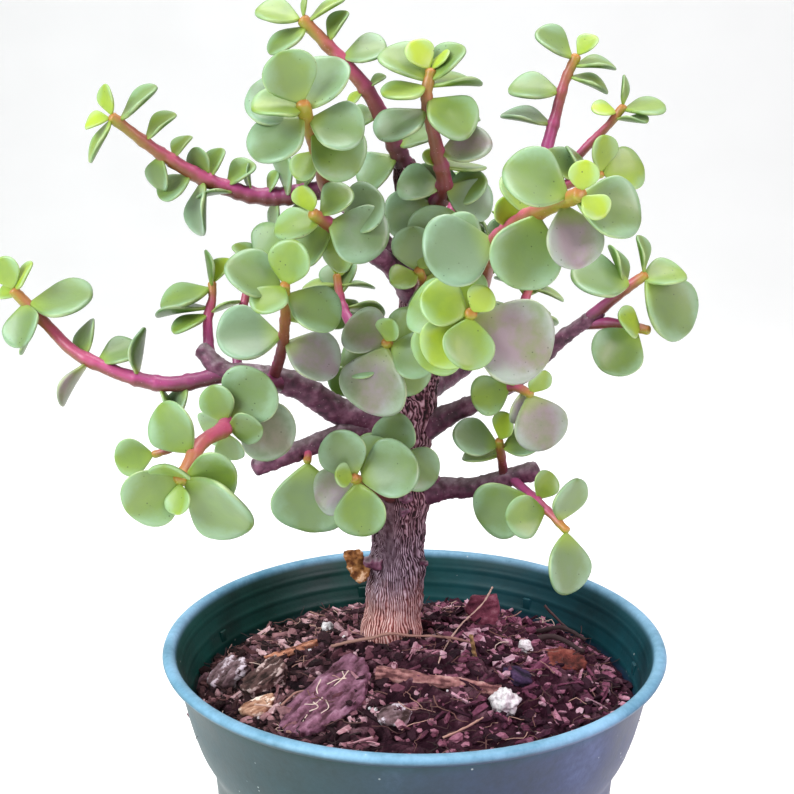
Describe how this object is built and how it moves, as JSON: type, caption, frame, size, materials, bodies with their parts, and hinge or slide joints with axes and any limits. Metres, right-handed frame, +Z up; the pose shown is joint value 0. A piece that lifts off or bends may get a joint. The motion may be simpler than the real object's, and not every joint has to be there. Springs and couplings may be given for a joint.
{
  "type": "potted elephant bush",
  "caption": "Small tree-shaped succulent with a thick ridged trunk, spreading limbs and round fleshy leaves, in soil in a round green plastic nursery pot.",
  "frame": {"origin": "centre of the pot's base, on the surface the pot stands on", "axes": "+Z up along the pot's axis and the trunk, -Y towards the front of the plant, +X to its right seen from the front"},
  "size_m": [0.2013, 0.1581, 0.298],
  "materials": {
    "pot_plastic": "dark green moulded plastic, satin, with a worn pale lip",
    "potting_mix": "coarse fibrous potting mix, dark brown",
    "trunk_bark": "grey-brown bark with wavy upright ridges",
    "limb_bark": "smooth plum-brown young bark with ring scars",
    "leaf": "fleshy glossy green leaf on a reddish-purple stem",
    "bark_chip": "broken plum-brown bark chips",
    "dry_wood": "dry orange-brown wood and bark",
    "perlite": "porous white grain"
  },
  "bodies": {
    "root": {"pot": "pot_plastic", "bark_slab": "bark_chip", "bark_chip_left": "bark_chip", "bark_chip_pair": "bark_chip", "bark_chip_pale": "bark_chip", "bark_chip_red": "bark_chip", "bark_chip_upright": "bark_chip", "bark_chip_dark": "bark_chip", "bark_chip_front": "bark_chip", "long_stick": "dry_wood", "orange_stick": "dry_wood", "leaning_twig": "dry_wood", "perlite_front": "perlite", "perlite_right": "perlite", "perlite_left": "perlite", "soil": "potting_mix", "bark_flake": "dry_wood", "trunk": "trunk_bark", "left_limb": "limb_bark", "right_limb": "limb_bark", "upper_left_limb": "limb_bark", "inner_left_limb": "limb_bark", "right_top_limb": "limb_bark", "lower_right_limb": "limb_bark", "pruned_limb": "limb_bark", "back_left_limb": "limb_bark", "back_right_limb": "limb_bark", "back_top_limb": "limb_bark", "far_left_shoot": "leaf", "left_upright_shoot": "leaf", "left_inner_shoot": "leaf", "upper_left_shoot": "leaf", "top_left_shoot": "leaf", "front_top_left_shoot": "leaf", "centre_top_shoot": "leaf", "top_right_shoot": "leaf", "far_right_top_shoot": "leaf", "right_small_shoot": "leaf", "right_front_shoot": "leaf", "lime_front_shoot": "leaf", "right_outer_shoot": "leaf", "right_lower_shoot": "leaf", "centre_left_shoot": "leaf", "inner_left_shoot": "leaf", "lower_left_shoot": "leaf", "lower_left_side_shoot": "leaf", "bottom_centre_shoot": "leaf", "trunk_front_shoot": "leaf", "hanging_right_shoot": "leaf", "lower_right_shoot": "leaf", "right_centre_shoot": "leaf", "centre_low_shoot": "leaf", "centre_high_shoot": "leaf", "hanging_left_shoot": "leaf", "back_left_shoot": "leaf", "back_left_low_shoot": "leaf", "back_right_shoot": "leaf", "back_right_low_shoot": "leaf", "back_top_shoot": "leaf", "back_side_shoot": "leaf"}
  },
  "joints": []
}
